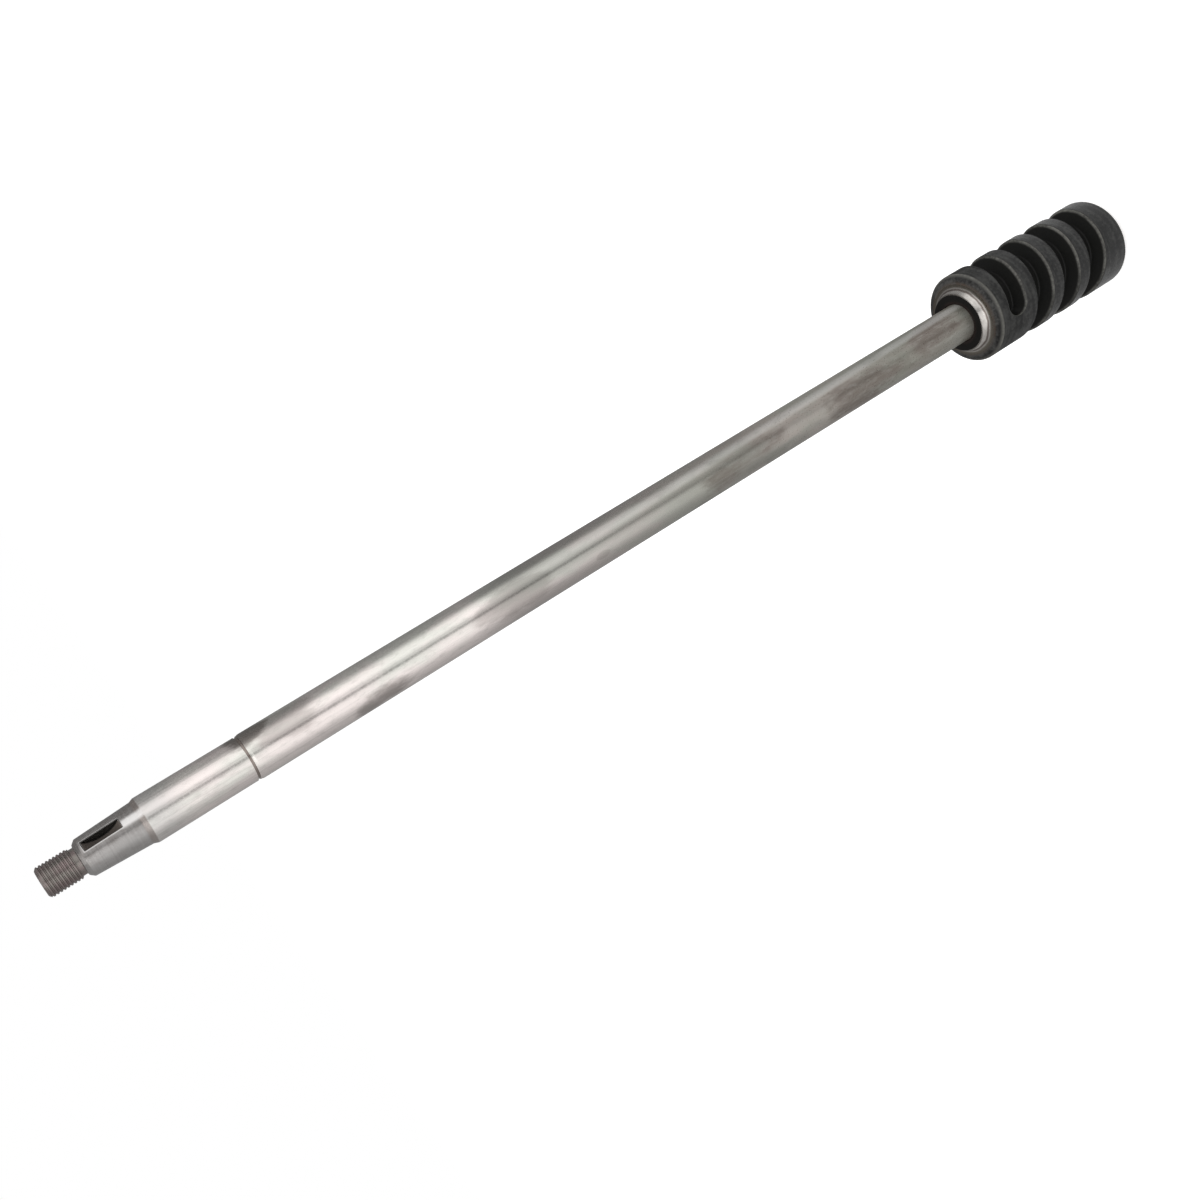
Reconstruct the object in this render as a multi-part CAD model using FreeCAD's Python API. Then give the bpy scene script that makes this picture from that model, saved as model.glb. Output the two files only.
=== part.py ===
import FreeCAD, Part
import math
import os

# Steering worm shaft: a ground steel bar with a tapered and threaded wheel end, and a
# hardened worm shrunk on its other end. The worm has a left-hand groove for the peg of
# a rocker arm, and a ball race at each end face.
#
# Frame: the origin is the centre of the lower end face, on which the shaft stands.
# +Z runs up the axis to the thread, and -Y points out of the key slot.
# Lengths are in millimetres and angles in degrees.

Vector = FreeCAD.Vector
AXIS = Vector(0, 0, 1)
FULL_TURN = 360.0

# Bar and the fit of the worm on it
bar_diameter = 22.0
bar_length = 458.7
bar_foot_chamfer = 0.6
worm_fit_clearance = 0.01

# Journal under the wheel hub, with a ring groove at its lower end
journal_diameter = 21.4
journal_length = 46.7
journal_lead_length = 2.0
ring_groove_width = 1.1
ring_groove_depth = 0.5
bar_lead_length = 1.0
bar_lead_land = 0.4

# Wheel taper
taper_large_diameter = 19.8
taper_length = 25.1
taper_ratio = 0.1
taper_nose_length = 1.8

# Thread and the relief below it
thread_diameter = 14.0
thread_length = 14.6
thread_tip_chamfer = 1.3
thread_foot_chamfer = 0.6
relief_diameter = 12.2
relief_length = 2.1

# Key slot in the taper, cut with a disc cutter
key_width = 5.0
key_cutter_diameter = 19.0
key_depth = 5.5
key_from_thread_tip = 27.9
key_direction = 270.0

# Worm body
worm_diameter = 52.6
worm_land_length = 111.6
rim_slope_length = 2.8
race_lip_diameter = 33.8
race_ball_radius = 4.6
bore_edge_chamfer = 0.6

# Peg groove in the worm
groove_lead = 24.0
groove_width = 13.4
groove_depth = 9.0
groove_flank_angle = 11.0
groove_edge_chamfer = 1.1
groove_end_inset = 21.9
groove_upper_end_angle = 48.5
cutter_overrun = 1.5
sweep_lap = 0.2

# Radii
bar_radius = bar_diameter / 2
journal_radius = journal_diameter / 2
thread_radius = thread_diameter / 2
relief_radius = relief_diameter / 2
worm_radius = worm_diameter / 2
lip_radius = race_lip_diameter / 2
bore_radius = bar_radius + worm_fit_clearance
taper_large_radius = taper_large_diameter / 2
taper_small_radius = taper_large_radius - taper_ratio * taper_length / 2

# Heights, stacked up from the end face
rim_radius = lip_radius + race_ball_radius
rim_height = race_ball_radius + rim_slope_length
worm_length = worm_land_length + 2 * rim_height
bar_top = worm_length + bar_length
ring_groove_bottom = bar_top + bar_lead_length + bar_lead_land
journal_bottom = ring_groove_bottom + ring_groove_width
journal_top = journal_bottom + journal_length
taper_bottom = journal_top + journal_lead_length
taper_top = taper_bottom + taper_length
relief_bottom = taper_top + taper_nose_length
thread_bottom = relief_bottom + relief_length
shaft_top = thread_bottom + thread_length


def turned(outline):
    """Turn a closed outline of (radius, height) points about the axis into a solid."""
    corners = [Vector(radius, 0, height) for radius, height in outline]
    face = Part.Face(Part.makePolygon(corners + corners[:1]))
    return face.revolve(Vector(0, 0, 0), AXIS, FULL_TURN)


def shaft_outline():
    """Half section of the bar, from the end face up to the thread tip."""
    ring_groove_radius = journal_radius - ring_groove_depth
    tip_radius = thread_radius - thread_tip_chamfer
    foot_radius = thread_radius - thread_foot_chamfer
    return [
        (0, 0),
        (bar_radius - bar_foot_chamfer, 0),
        (bar_radius, bar_foot_chamfer),
        (bar_radius, bar_top),
        (journal_radius, bar_top + bar_lead_length),
        (journal_radius, ring_groove_bottom),
        (ring_groove_radius, ring_groove_bottom),
        (ring_groove_radius, journal_bottom),
        (journal_radius, journal_bottom),
        (journal_radius, journal_top),
        (taper_large_radius, taper_bottom),
        (taper_small_radius, taper_top),
        (thread_radius, relief_bottom),
        (relief_radius, relief_bottom),
        (relief_radius, thread_bottom),
        (foot_radius, thread_bottom),
        (thread_radius, thread_bottom + thread_foot_chamfer),
        (thread_radius, shaft_top - thread_tip_chamfer),
        (tip_radius, shaft_top),
        (0, shaft_top),
    ]


def key_cutter():
    """Disc that mills the key slot: its axis lies across the shaft, along X."""
    cutter_radius = key_cutter_diameter / 2
    height = shaft_top - key_from_thread_tip
    surface_radius = taper_large_radius - taper_ratio * (height - taper_bottom) / 2
    centre_distance = surface_radius - key_depth + cutter_radius
    corner = Vector(-key_width / 2, -centre_distance, height)
    return Part.makeCylinder(cutter_radius, key_width, corner, Vector(1, 0, 0))


def make_shaft():
    """Bar with journal, wheel taper, key slot and plain thread blank."""
    return turned(shaft_outline()).cut(key_cutter())


def worm_blank():
    """Worm body before its groove is milled, with a ball race turned in each face."""
    middle = worm_length / 2
    rim_point = Vector(rim_radius, 0, race_ball_radius)
    race_centre = Vector(rim_radius, 0, 0)
    half_way = race_ball_radius * math.sqrt(0.5)
    race_middle = race_centre + Vector(-half_way, 0, half_way)
    corners = [
        Vector(rim_radius, 0, race_ball_radius),
        Vector(worm_radius, 0, rim_height),
        Vector(worm_radius, 0, middle),
        Vector(bore_radius, 0, middle),
        Vector(bore_radius, 0, bore_edge_chamfer),
        Vector(bore_radius + bore_edge_chamfer, 0, 0),
        Vector(lip_radius, 0, 0),
    ]
    race = Part.Arc(corners[-1], race_middle, rim_point).toShape()
    outline = Part.Wire([Part.makePolygon(corners), race])
    half = Part.Face(outline).revolve(Vector(0, 0, 0), AXIS, FULL_TURN)
    other_half = half.mirror(Vector(0, 0, middle), AXIS)
    return half.fuse(other_half).removeSplitter()


def groove_half_section():
    """Half of the groove's section as (radius, half width), from the floor outwards."""
    floor_radius = worm_radius - groove_depth
    edge_radius = worm_radius - groove_edge_chamfer
    outer_radius = worm_radius + cutter_overrun
    edge_half = groove_width / 2
    flank_run = (edge_radius - floor_radius) * math.tan(math.radians(groove_flank_angle))
    return [
        (floor_radius, edge_half - flank_run),
        (edge_radius, edge_half),
        (outer_radius, edge_half + groove_edge_chamfer + cutter_overrun),
    ]


def groove_sweep(section, height):
    """Solid that the groove's section fills as it runs up a left-hand helix."""
    lower_side = [Vector(radius, 0, -half) for radius, half in section]
    upper_side = [Vector(radius, 0, half) for radius, half in reversed(section)]
    corners = lower_side + upper_side
    profile = Part.makePolygon(corners + corners[:1])
    helix = Part.makeHelix(groove_lead, height, section[0][0], 0, True)
    return Part.Wire(helix.Edges).makePipeShell([profile], True, True)


def groove_end(section, side):
    """Round end of the groove: half a turn of the cutter, bulging to +Y or -Y."""
    corners = [Vector(radius, 0, half) for radius, half in section]
    first = Vector(section[0][0], 0, 0)
    last = Vector(section[-1][0], 0, 0)
    face = Part.Face(Part.makePolygon([first] + corners + [last, first]))
    return face.revolve(first, Vector(-side, 0, 0), FULL_TURN / 2)


def make_worm():
    """Worm with its helical groove milled and both groove ends rounded."""
    section = groove_half_section()
    height = worm_length - 2 * groove_end_inset
    turn_angle = FULL_TURN * height / groove_lead
    lower_end = groove_end(section, 1)
    upper_end = groove_end(section, -1)
    upper_end.rotate(Vector(0, 0, 0), AXIS, -turn_angle)
    upper_end.translate(Vector(0, 0, height))
    sweep = groove_sweep(section, height + sweep_lap)
    worm = worm_blank()
    for cutter in (lower_end, upper_end, sweep):
        cutter.rotate(Vector(0, 0, 0), AXIS, key_direction - groove_upper_end_angle + turn_angle)
        cutter.translate(Vector(0, 0, groove_end_inset))
        worm = worm.cut(cutter)
    return worm


PARTS = {
    "shaft": make_shaft,
    "worm": make_worm,
}

os.makedirs("parts", exist_ok=True)
for name, make in PARTS.items():
    shape = make()
    shape.exportStep(os.path.join("parts", name + ".step"))
    print(name, "solids", len(shape.Solids), "volume", round(shape.Volume), "valid", shape.isValid())
print("overall height", round(shaft_top, 2), "worm height", round(worm_length, 2))
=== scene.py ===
import logging
import math
from collections.abc import Sequence
from dataclasses import dataclass
from enum import Enum

import bmesh
import bpy
from bmesh.types import BMEdge, BMesh, BMVert
from bpy.types import ID, Material, Mesh, NodeSocket, NodeTree, Object
from mathutils import Matrix, Vector


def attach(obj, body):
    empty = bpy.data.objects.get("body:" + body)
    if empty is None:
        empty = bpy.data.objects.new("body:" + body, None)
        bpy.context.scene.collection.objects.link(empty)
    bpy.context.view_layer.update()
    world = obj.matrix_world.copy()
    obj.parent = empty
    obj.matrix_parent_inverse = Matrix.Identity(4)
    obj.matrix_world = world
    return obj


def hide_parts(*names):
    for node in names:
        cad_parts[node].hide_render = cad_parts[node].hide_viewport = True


# Looks of a steering worm shaft: the ground bar with its wheel end, and the hardened worm.
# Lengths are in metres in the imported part's frame, and sizes are written as so many MM.

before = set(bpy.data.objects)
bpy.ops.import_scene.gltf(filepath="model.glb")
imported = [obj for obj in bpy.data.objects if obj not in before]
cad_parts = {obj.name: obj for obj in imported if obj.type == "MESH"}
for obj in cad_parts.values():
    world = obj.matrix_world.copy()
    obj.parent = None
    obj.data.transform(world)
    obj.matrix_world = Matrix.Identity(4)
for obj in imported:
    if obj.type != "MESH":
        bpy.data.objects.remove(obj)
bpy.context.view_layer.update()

MM = 0.001
AXIS = Vector((0.0, 0.0, 1.0))
ORIGIN = Vector((0.0, 0.0, 0.0))
BODY = "root"
WORM_LENGTH = 126.4 * MM
WELD_GAP = 0.005 * MM
SLIVER = 0.0005 * MM
SHARP_ANGLE = math.radians(32.0)
ROUND_STEPS = 144
FILLET_SEGMENTS = 4

Colour = tuple[float, float, float, float]
SocketValue = NodeSocket | float | Sequence[float]

log = logging.getLogger("worm_shaft")


class Carve(Enum):
    """How a second mesh changes the first one."""

    CUT = "DIFFERENCE"
    KEEP_INSIDE = "INTERSECT"
    JOIN = "UNION"


class Blend(Enum):
    """How a second colour goes over the first one."""

    MIX = "MIX"
    MULTIPLY = "MULTIPLY"


@dataclass(frozen=True)
class Corner:
    """One corner of a turned outline, and how far its two sides are rounded off."""

    radius: float
    height: float
    rounding: float = 0.0
    segments: int = FILLET_SEGMENTS


def draw_outline(corners: Sequence[Corner]) -> BMesh:
    """Draw an open outline in the XZ plane and round its corners.

    Args:
        corners: The outline's corners in order, in metres.

    Returns:
        A mesh of edges only.
    """
    outline = bmesh.new()
    points = [outline.verts.new((corner.radius, 0.0, corner.height)) for corner in corners]
    for start, end in zip(points, points[1:]):
        outline.edges.new((start, end))
    for corner, point in zip(corners, points):
        if corner.rounding > 0.0:
            bmesh.ops.bevel(
                outline,
                geom=[point],
                offset=corner.rounding,
                offset_type="OFFSET",
                segments=corner.segments,
                profile=0.5,
                affect="VERTICES",
                clamp_overlap=False,
                material=-1,
            )
    return outline


def turn_solid(corners: Sequence[Corner], steps: int = ROUND_STEPS) -> BMesh:
    """Turn an outline about the part's axis into a closed solid.

    Args:
        corners: The outline's corners, either both ends on the axis or closed on itself.
        steps: The number of facets round the axis.

    Returns:
        The solid's mesh, with its faces pointing outwards.
    """
    solid = draw_outline(corners)
    bmesh.ops.spin(
        solid,
        geom=solid.verts[:] + solid.edges[:],
        cent=ORIGIN,
        axis=AXIS,
        dvec=ORIGIN,
        angle=math.tau,
        steps=steps,
        use_merge=True,
    )
    bmesh.ops.remove_doubles(solid, verts=solid.verts[:], dist=WELD_GAP)
    bmesh.ops.recalc_face_normals(solid, faces=solid.faces[:])
    return solid


def store(solid: BMesh, name: str) -> Mesh:
    """Write a bmesh into a new mesh and free it.

    Args:
        solid: The bmesh that is written.
        name: The new mesh's name.

    Returns:
        The new mesh.
    """
    mesh = bpy.data.meshes.new(name)
    solid.to_mesh(mesh)
    solid.free()
    return mesh


def put_in_scene(name: str, data: ID) -> Object:
    """Put a mesh, lamp or camera in the scene, unturned at the origin.

    Args:
        name: The new object's name.
        data: The mesh, lamp or camera.

    Returns:
        The new object.
    """
    item = bpy.data.objects.new(name, data)
    bpy.context.scene.collection.objects.link(item)
    return item


def carve(blank: Mesh, tool: Mesh, how: Carve) -> Mesh:
    """Cut, join or intersect two closed meshes.

    Args:
        blank: The mesh that is changed. It is removed afterwards.
        tool: The mesh that changes it. It is removed afterwards.
        how: What the tool does to the blank.

    Returns:
        The new mesh.
    """
    work = put_in_scene("work", blank)
    other = put_in_scene("tool", tool)
    step = work.modifiers.new("carve", "BOOLEAN")
    step.object = other
    step.operation = how.value
    step.solver = "EXACT"
    bpy.context.view_layer.update()
    depsgraph = bpy.context.evaluated_depsgraph_get()
    carved = bmesh.new()
    carved.from_object(work, depsgraph)
    bmesh.ops.remove_doubles(carved, verts=carved.verts[:], dist=SLIVER)
    bmesh.ops.dissolve_degenerate(carved, edges=carved.edges[:], dist=SLIVER)
    for item in (work, other):
        bpy.data.objects.remove(item)
    for mesh in (blank, tool):
        bpy.data.meshes.remove(mesh)
    return store(carved, "carved")


def finish_piece(name: str, mesh: Mesh, material: Material, node: str) -> Object:
    """Make a shown piece of a finished mesh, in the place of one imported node.

    Args:
        name: The piece's name.
        mesh: Its mesh, in the part's frame.
        material: Its finish.
        node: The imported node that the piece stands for.

    Returns:
        The piece, riding on the part's body.
    """
    mesh.name = name
    mesh.materials.clear()
    mesh.materials.append(material)
    mesh.shade_smooth()
    mesh.set_sharp_from_angle(angle=SHARP_ANGLE)
    piece = put_in_scene(name, mesh)
    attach(piece, BODY)
    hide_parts(node)
    return piece


def colour(red: float, green: float, blue: float) -> Colour:
    """A plain opaque colour."""
    return (red, green, blue, 1.0)


@dataclass(frozen=True)
class Marks:
    """Marks that a noise leaves: the values where they start and are full, and their tone."""

    start: float
    full: float
    strength: float
    tone: Colour


class NodeSheet:
    """Lays out the nodes of one material, on the piece's own Object coordinates."""

    def __init__(self, name: str) -> None:
        """Start a material that holds one Principled shader.

        Args:
            name: The material's name.
        """
        self.material = bpy.data.materials.new(name)
        self.material.use_nodes = True
        self.tree = self.material.node_tree
        self.shader = self.tree.nodes["Principled BSDF"]
        self.place = self.tree.nodes.new("ShaderNodeTexCoord").outputs["Object"]
        split = self.tree.nodes.new("ShaderNodeSeparateXYZ")
        self.feed(split.inputs[0], self.place)
        self.across, self.along, self.height = split.outputs

    def feed(self, socket: NodeSocket, value: SocketValue) -> None:
        """Link a socket to another one, or set its own value.

        Args:
            socket: The input that is fed.
            value: Another socket or a constant.
        """
        if isinstance(value, NodeSocket):
            self.tree.links.new(value, socket)
        else:
            socket.default_value = value

    def dress(self, finish: dict[str, SocketValue]) -> None:
        """Link or set the shader's inputs by their names."""
        for name, value in finish.items():
            self.feed(self.shader.inputs[name], value)

    def calc(self, operation: str, *values: NodeSocket | float) -> NodeSocket:
        """Work out one Math node.

        Args:
            operation: The Math node's operation.
            values: Its inputs, in order.

        Returns:
            The result's socket.
        """
        node = self.tree.nodes.new("ShaderNodeMath")
        node.operation = operation
        for socket, value in zip(node.inputs, values):
            self.feed(socket, value)
        return node.outputs[0]

    def times(self, first: NodeSocket, *others: NodeSocket | float) -> NodeSocket:
        """Product of several values.

        Args:
            first: The first value.
            others: The values that it is multiplied by.

        Returns:
            The product's socket.
        """
        product = first
        for value in others:
            product = self.calc("MULTIPLY", product, value)
        return product

    def away(self, value: NodeSocket, place: NodeSocket | float) -> NodeSocket:
        """How far a value lies from a place, to either side."""
        return self.calc("ABSOLUTE", self.calc("SUBTRACT", value, place))

    def radius(self) -> NodeSocket:
        """Distance from the part's axis."""
        squares = [self.calc("MULTIPLY", side, side) for side in (self.across, self.along)]
        return self.calc("SQRT", self.calc("ADD", *squares))

    def azimuth(self) -> NodeSocket:
        """Direction from the axis, in turns from -0.5 to 0.5, with 0 at +X."""
        angle = self.calc("ARCTAN2", self.along, self.across)
        return self.calc("DIVIDE", angle, math.tau)

    def fade(
        self,
        value: NodeSocket,
        start: float,
        end: float,
        low: float = 0.0,
        high: float = 1.0,
    ) -> NodeSocket:
        """Pass smoothly from low to high while a value goes from start to end.

        Args:
            value: The value that is read.
            start: Where the result is still low.
            end: Where the result has become high.
            low: The result at start.
            high: The result at end.

        Returns:
            The result's socket.
        """
        node = self.tree.nodes.new("ShaderNodeMapRange")
        node.interpolation_type = "SMOOTHSTEP"
        for socket, number in zip(node.inputs, (value, start, end, low, high)):
            self.feed(socket, number)
        return node.outputs[0]

    def noise(
        self,
        stretch: Sequence[float],
        detail: float = 3.0,
        roughness: float = 0.55,
        shift: float = 0.0,
    ) -> NodeSocket:
        """Noise from 0 to 1, with its own number of grains per metre along each axis.

        Args:
            stretch: Grains per metre along X, Y and Z.
            detail: How many finer layers it has.
            roughness: How strong those are.
            shift: Moves the pattern, so that two noises differ.

        Returns:
            The noise's socket.
        """
        mapping = self.tree.nodes.new("ShaderNodeMapping")
        self.feed(mapping.inputs["Vector"], self.place)
        self.feed(mapping.inputs["Location"], (shift, shift, shift))
        self.feed(mapping.inputs["Scale"], stretch)
        node = self.tree.nodes.new("ShaderNodeTexNoise")
        self.feed(node.inputs["Vector"], mapping.outputs[0])
        self.feed(node.inputs["Scale"], 1.0)
        self.feed(node.inputs["Detail"], detail)
        self.feed(node.inputs["Roughness"], roughness)
        return node.outputs["Fac"]

    def swing(self, noise: NodeSocket, size: float) -> NodeSocket:
        """Stretch a noise from 0 to 1 into one from -size to size."""
        return self.calc("MULTIPLY_ADD", noise, 2 * size, -size)

    def vary(self, noise: NodeSocket, low: float, high: float) -> NodeSocket:
        """Vary a value with a noise, of which nearly all lies between 0.3 and 0.7."""
        return self.fade(noise, 0.3, 0.7, low, high)

    def tint(
        self,
        share: NodeSocket | float,
        first: NodeSocket | Colour,
        second: NodeSocket | Colour,
        how: Blend = Blend.MIX,
    ) -> NodeSocket:
        """Blend two colours.

        Args:
            share: The second colour's share.
            first: The first colour.
            second: The second colour.
            how: Whether the second replaces or multiplies the first.

        Returns:
            The blended colour's socket.
        """
        node = self.tree.nodes.new("ShaderNodeMix")
        node.data_type = "RGBA"
        node.blend_type = how.value
        self.feed(node.inputs["Factor"], share)
        colours = [socket for socket in node.inputs if socket.type == "RGBA"]
        self.feed(colours[0], first)
        self.feed(colours[1], second)
        return next(socket for socket in node.outputs if socket.type == "RGBA")

    def mark(
        self,
        tone: NodeSocket | Colour,
        noise: NodeSocket,
        marks: Marks,
        *places: NodeSocket,
    ) -> NodeSocket:
        """Lay a noise's marks on a tone.

        Args:
            tone: The tone without them.
            noise: The noise that they follow.
            marks: How they start, how strong they are and their tone.
            places: Shares that thin them out by place, if any.

        Returns:
            The marked tone's socket.
        """
        share = self.fade(noise, marks.start, marks.full, 0.0, marks.strength)
        return self.tint(self.times(share, *places), tone, marks.tone)

    def emboss(self, relief: NodeSocket, depth: float) -> None:
        """Give the shader a bump.

        Args:
            relief: The bump's pattern.
            depth: The height that 1 in the pattern stands for, in metres.
        """
        node = self.tree.nodes.new("ShaderNodeBump")
        self.feed(node.inputs["Strength"], 1.0)
        self.feed(node.inputs["Distance"], depth)
        self.feed(node.inputs["Height"], relief)
        self.dress({"Normal": node.outputs[0]})


@dataclass(frozen=True)
class Stain:
    """A patch of discoloured steel on the bar: its place, size and strength."""

    height: float
    azimuth: float
    length: float
    width: float
    strength: float


@dataclass(frozen=True)
class SheenAndStainBand:
    """One band that slants down the front of the bar: its place across, width and tone. A light
    band is a painted highlight, and a dark band is partly stain and partly a painted dark
    reflection.
    """

    place: float
    half_width: float
    strength: float
    tone: Colour


@dataclass(frozen=True)
class BarSteel:
    """Ground steel: bright at the wheel end, dull and mottled towards the worm."""

    bright: Colour = colour(0.97, 0.955, 0.945)
    middle: Colour = colour(0.62, 0.61, 0.60)
    dull: Colour = colour(0.362, 0.356, 0.334)
    foot: Colour = colour(0.205, 0.206, 0.183)
    pink: Colour = colour(0.95, 0.862, 0.835)
    olive: Colour = colour(0.80, 0.81, 0.745)
    stain: Colour = colour(0.112, 0.090, 0.076)
    thread: Colour = colour(0.238, 0.193, 0.188)
    cone: Colour = colour(0.264, 0.250, 0.242)
    slot: Colour = colour(0.105, 0.090, 0.080)
    # Painted shade on the key slot's side walls.
    slot_wall_shade: Colour = colour(0.012, 0.011, 0.010)
    # Ring groove tone, also used for the painted shade at the cone's shoulder.
    ring: Colour = colour(0.300, 0.255, 0.230)
    foot_end: float = 145 * MM
    dull_end: float = 285 * MM
    middle_end: float = 434 * MM
    bright_start: float = 474 * MM
    tone_wander: float = 30 * MM
    cast_range: tuple[float, float] = (0.37, 0.57)
    cast_share: float = 0.80
    blotches: Marks = Marks(0.48, 0.70, 0.70, foot)
    grinding: Marks = Marks(0.45, 0.80, 0.28, dull)
    specks: Marks = Marks(0.45, 0.80, 0.30, dull)
    turned_rings: Marks = Marks(0.30, 0.90, 0.28, middle)
    cone_dirt: Marks = Marks(0.40, 0.75, 0.35, stain)
    thread_dirt: Marks = Marks(0.35, 0.65, 0.60, foot)
    worn_lead_share: float = 0.55
    # Shares of the painted light on the cone's -X side, the painted shade at the shoulder, and the
    # painted highlights by the slot.
    cone_lit_side_share: float = 0.30
    shoulder_shade_share: float = 0.55
    cone_highlight_share: float = 0.62
    slot_edge_highlight_share: float = 0.42
    foot_metal: float = 0.45
    cone_metal: float = 0.88
    slot_metal: float = 0.20
    bright_roughness: float = 0.19
    dull_roughness: float = 0.30
    cone_roughness: float = 0.02
    thread_roughness: float = 0.04
    grain_roughness: tuple[float, float] = (-0.03, 0.05)
    line_relief: float = 0.4
    ring_relief: float = 0.5
    relief_depth: float = 0.015 * MM
    band_slant: float = 0.0204
    # Bands on the front of the dull bar: a painted highlight band in the middle tone, and a dark
    # band in the stain tone that is partly stain and partly a painted dark reflection.
    streaks: tuple[SheenAndStainBand, ...] = (
        SheenAndStainBand(6.65 * MM, 3.4 * MM, 0.38, middle),
        SheenAndStainBand(2.15 * MM, 2.4 * MM, 0.34, stain),
    )
    stain_raggedness: float = 2.5
    stains: tuple[Stain, ...] = (
        Stain(582 * MM, math.radians(297.0), 11 * MM, 6.5 * MM, 0.75),
        Stain(566 * MM, math.radians(268.0), 16 * MM, 8 * MM, 0.35),
        Stain(520 * MM, math.radians(190.0), 17 * MM, 6 * MM, 0.55),
        Stain(449 * MM, math.radians(232.0), 20 * MM, 7 * MM, 0.28),
        Stain(397 * MM, math.radians(207.0), 4 * MM, 1.8 * MM, 0.22),
        Stain(300 * MM, math.radians(228.0), 30 * MM, 10 * MM, 0.66),
        Stain(212 * MM, math.radians(212.0), 30 * MM, 10 * MM, 0.75),
        Stain(152 * MM, math.radians(252.0), 22 * MM, 10 * MM, 0.75),
        Stain(536 * MM, math.radians(95.0), 18 * MM, 8 * MM, 0.30),
        Stain(430 * MM, math.radians(30.0), 26 * MM, 9 * MM, 0.35),
        Stain(335 * MM, math.radians(110.0), 30 * MM, 10 * MM, 0.60),
        Stain(240 * MM, math.radians(40.0), 26 * MM, 10 * MM, 0.65),
        Stain(170 * MM, math.radians(125.0), 24 * MM, 10 * MM, 0.60),
    )

    def material(self, bar: "WheelEndBar") -> Material:
        """Build the finish for a bar of those sizes."""
        return BarSheet(self, bar).build()


class BarSheet(NodeSheet):
    """Nodes of the bar's finish, with the noises and places that several methods read."""

    def __init__(self, steel: BarSteel, bar: "WheelEndBar") -> None:
        """Lay out the noises, and find the cone, the thread and the slot.

        Args:
            steel: The tones and shares of the finish.
            bar: The bar that it dresses.
        """
        super().__init__("ground_steel")
        self.steel = steel
        self.bar = bar
        self.lines = self.noise((900.0, 900.0, 5.0), detail=5.0, roughness=0.6)
        self.mottle = self.noise((70.0, 70.0, 22.0), detail=6.0, roughness=0.62, shift=3.1)
        self.fine = self.noise((420.0, 420.0, 160.0), detail=4.0, roughness=0.6, shift=9.4)
        self.grain = self.noise((1500.0, 1500.0, 1100.0), detail=2.0, shift=7.7)
        self.rings = self.noise((3.0, 3.0, 2600.0), detail=2.0, shift=2.2)
        self.hue = self.noise((45.0, 45.0, 16.0), detail=4.0, roughness=0.6, shift=5.2)
        self.reach = self.calc("ADD", self.height, self.swing(self.mottle, steel.tone_wander))
        self.dullness = self.fade(self.height, steel.bright_start, steel.dull_end)
        lead = bar.journal_top
        self.on_cone = self.fade(self.height, lead - 0.4 * MM, lead + 0.3 * MM)
        relief = bar.relief_bottom
        self.on_thread = self.fade(self.height, relief, relief + 0.5 * MM)
        self.slot_share = self.find_slot()

    def find_slot(self) -> NodeSocket:
        """Find the key slot, below the cone's surface.

        Returns:
            1 in the slot and 0 on the surface.
        """
        margin = 1.0 * MM
        rise = self.calc("SUBTRACT", self.height, self.bar.taper_bottom)
        surface = self.calc("MULTIPLY_ADD", rise, -self.bar.taper_slope, self.bar.taper_radius)
        sunk = self.calc("SUBTRACT", surface, self.radius())
        deep = self.fade(sunk, 0.25 * MM, 0.8 * MM)
        above = self.calc("GREATER_THAN", self.height, self.bar.taper_bottom + margin)
        below = self.calc("LESS_THAN", self.height, self.bar.taper_top - margin)
        return self.times(deep, above, below)

    def find_slot_edge_highlight(self) -> NodeSocket:
        """Find the painted highlight along the two long edges of the key slot.

        Returns:
            The painted highlight's share.
        """
        half_width = self.bar.key_width / 2
        half_length = self.bar.key_reach()
        aside = self.calc("ABSOLUTE", self.across)
        beside = self.fade(aside, half_width + 0.7 * MM, half_width + 0.1 * MM)
        from_middle = self.away(self.height, self.bar.key_height)
        along = self.fade(from_middle, half_length + 0.5 * MM, half_length - 0.5 * MM)
        front = self.fade(self.along, -4 * MM, -6 * MM, 0.0, self.steel.slot_edge_highlight_share)
        return self.times(front, beside, along)

    def find_cone_highlight(self) -> NodeSocket:
        """Find the painted highlight on the cone between the journal and the slot.

        Returns:
            The painted highlight's share.
        """
        slot_foot = self.bar.key_height - self.bar.key_reach()
        start, end = slot_foot + 1.5 * MM, slot_foot - 1.0 * MM
        below_slot = self.fade(self.height, start, end, 0.0, self.steel.cone_highlight_share)
        beside = self.fade(self.away(self.across, -1.4 * MM), 2.6 * MM, 0.8 * MM)
        front = self.fade(self.along, -4 * MM, -7 * MM)
        return self.times(below_slot, beside, front)

    def find_ring(self) -> NodeSocket:
        """Find the ring groove under the journal.

        Returns:
            1 in the groove and 0 outside it.
        """
        sunk = self.calc("LESS_THAN", self.radius(), self.bar.journal_radius - 0.1 * MM)
        above = self.calc("GREATER_THAN", self.height, self.bar.ring_bottom)
        below = self.calc("LESS_THAN", self.height, self.bar.ring_top)
        return self.times(sunk, above, below)

    def find_stains(self) -> NodeSocket:
        """Find the stains, each with a ragged edge.

        Returns:
            The stains' share.
        """
        ragged = self.swing(self.mottle, self.steel.stain_raggedness)
        edge, core = 1.2, 0.2
        total = None
        for patch in self.steel.stains:
            spots = (
                (self.across, self.bar.bar_radius * math.cos(patch.azimuth), patch.width),
                (self.along, self.bar.bar_radius * math.sin(patch.azimuth), patch.width),
                (self.height, patch.height, patch.length),
            )
            reach = ragged
            for value, place, size in spots:
                offset = self.calc("DIVIDE", self.calc("SUBTRACT", value, place), size)
                reach = self.calc("ADD", reach, self.calc("POWER", offset, 2.0))
            share = self.fade(reach, edge, core, 0.0, patch.strength)
            total = share if total is None else self.calc("MAXIMUM", total, share)
        return total

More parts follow.
